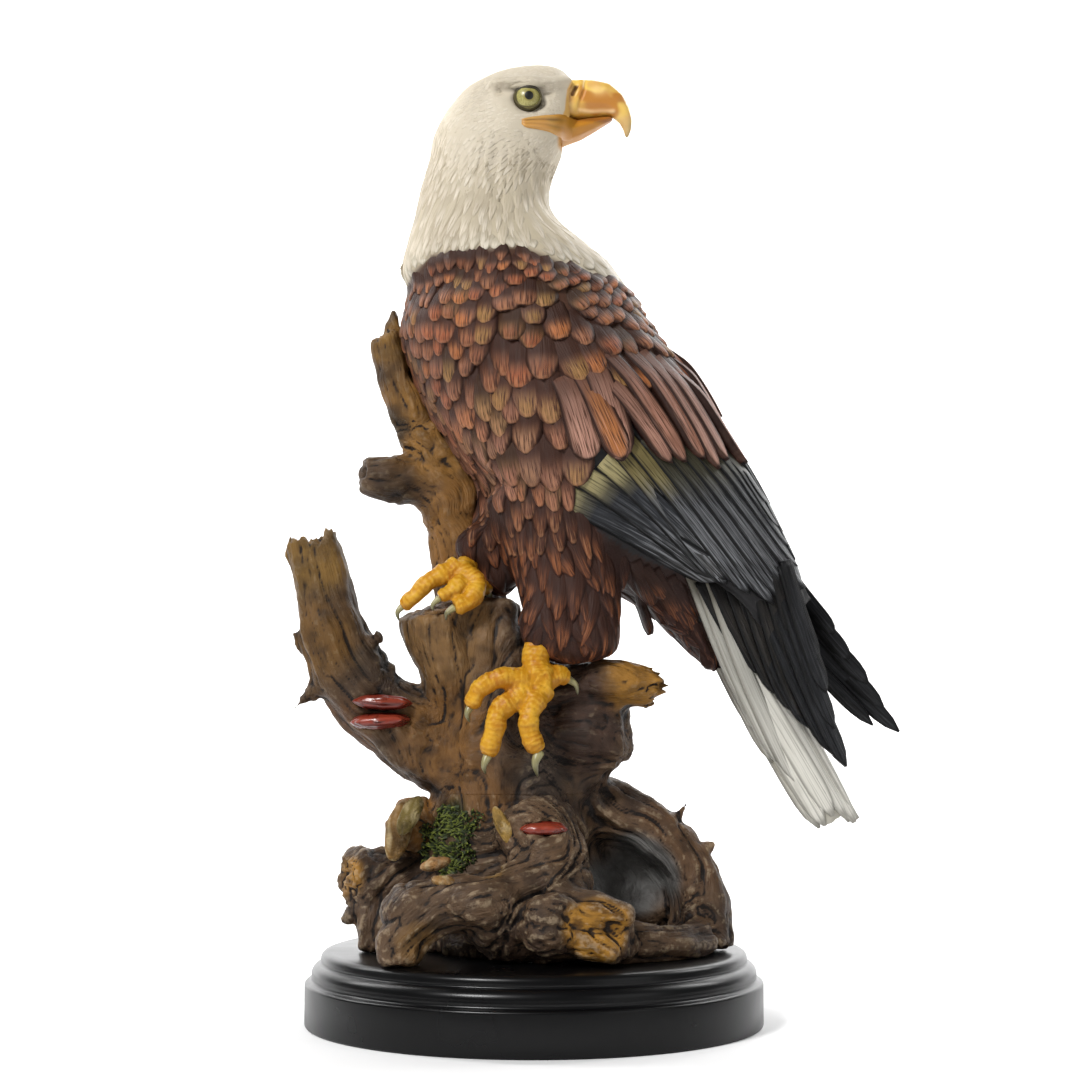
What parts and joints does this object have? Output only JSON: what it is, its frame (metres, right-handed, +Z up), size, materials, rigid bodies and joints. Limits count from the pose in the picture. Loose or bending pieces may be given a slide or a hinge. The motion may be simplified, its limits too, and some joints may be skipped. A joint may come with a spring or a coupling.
{
  "type": "bald eagle statue",
  "caption": "Painted resin statue of a bald eagle perched on a driftwood stump, head turned over its back, fixed to a round black wooden plinth.",
  "frame": {"origin": "centre of the plinth's flat underside", "axes": "+Z up; the bird's chest faces -X and its tail +X, its left side faces -Y, and its head is turned back so that the bill points to +X"},
  "size_m": [0.2733, 0.2, 0.4227],
  "materials": {
    "plinth_lacquer": "satin black lacquer on turned wood",
    "driftwood": "carved polyresin painted as weathered bark, dark wash and pale dry-brushed ridges, satin",
    "broken_wood": "carved polyresin painted as ochre broken heartwood, satin",
    "fungus": "polyresin painted red-brown, semi-gloss",
    "white_plumage": "carved polyresin painted warm ivory with a grey-brown wash, matt",
    "brown_plumage": "carved polyresin painted in browns with rust and mauve dry-brushing, satin",
    "slate_plumage": "carved polyresin painted charcoal with grey dry-brushing, satin",
    "foot_scales": "carved polyresin painted chrome yellow, satin",
    "bill": "polyresin painted orange-yellow, gloss",
    "claw": "polyresin painted grey-olive, semi-gloss",
    "eye": "painted iris and pupil under clear gloss"
  },
  "bodies": {
    "root": {"plinth": "plinth_lacquer", "eye_left": "eye", "eye_right": "eye", "bill_upper": "bill", "bill_lower": "bill", "head": "white_plumage", "neck": "white_plumage", "body": "brown_plumage", "wing_left_coverts": "brown_plumage", "wing_left_secondaries": "slate_plumage", "wing_right_coverts": "brown_plumage", "wing_right_secondaries": "slate_plumage", "wing_left_primaries": "slate_plumage", "wing_right_primaries": "slate_plumage", "undertail": "brown_plumage", "tail": "white_plumage", "shank_left": "foot_scales", "toe_left_1": "foot_scales", "toe_left_2": "foot_scales", "toe_left_3": "foot_scales", "toe_left_4": "foot_scales", "claw_left_1": "claw", "claw_left_2": "claw", "claw_left_3": "claw", "claw_left_4": "claw", "shank_right": "foot_scales", "toe_right_1": "foot_scales", "toe_right_2": "foot_scales", "toe_right_3": "foot_scales", "toe_right_4": "foot_scales", "claw_right_1": "claw", "claw_right_2": "claw", "claw_right_3": "claw", "claw_right_4": "claw", "thigh_left": "brown_plumage", "thigh_right": "brown_plumage", "fungus_upper": "fungus", "fungus_lower": "fungus", "fungus_front": "fungus", "stump_trunk": "driftwood", "stump_knob": "driftwood", "stump_snag": "driftwood", "stump_snag_stub": "driftwood", "stump_branch": "driftwood", "stump_stub_right": "broken_wood", "root_arch": "driftwood", "root_sill": "driftwood", "root_hollow": "broken_wood", "root_front": "driftwood", "root_left": "driftwood", "root_back_right": "driftwood", "root_back_left": "driftwood"}
  },
  "joints": []
}
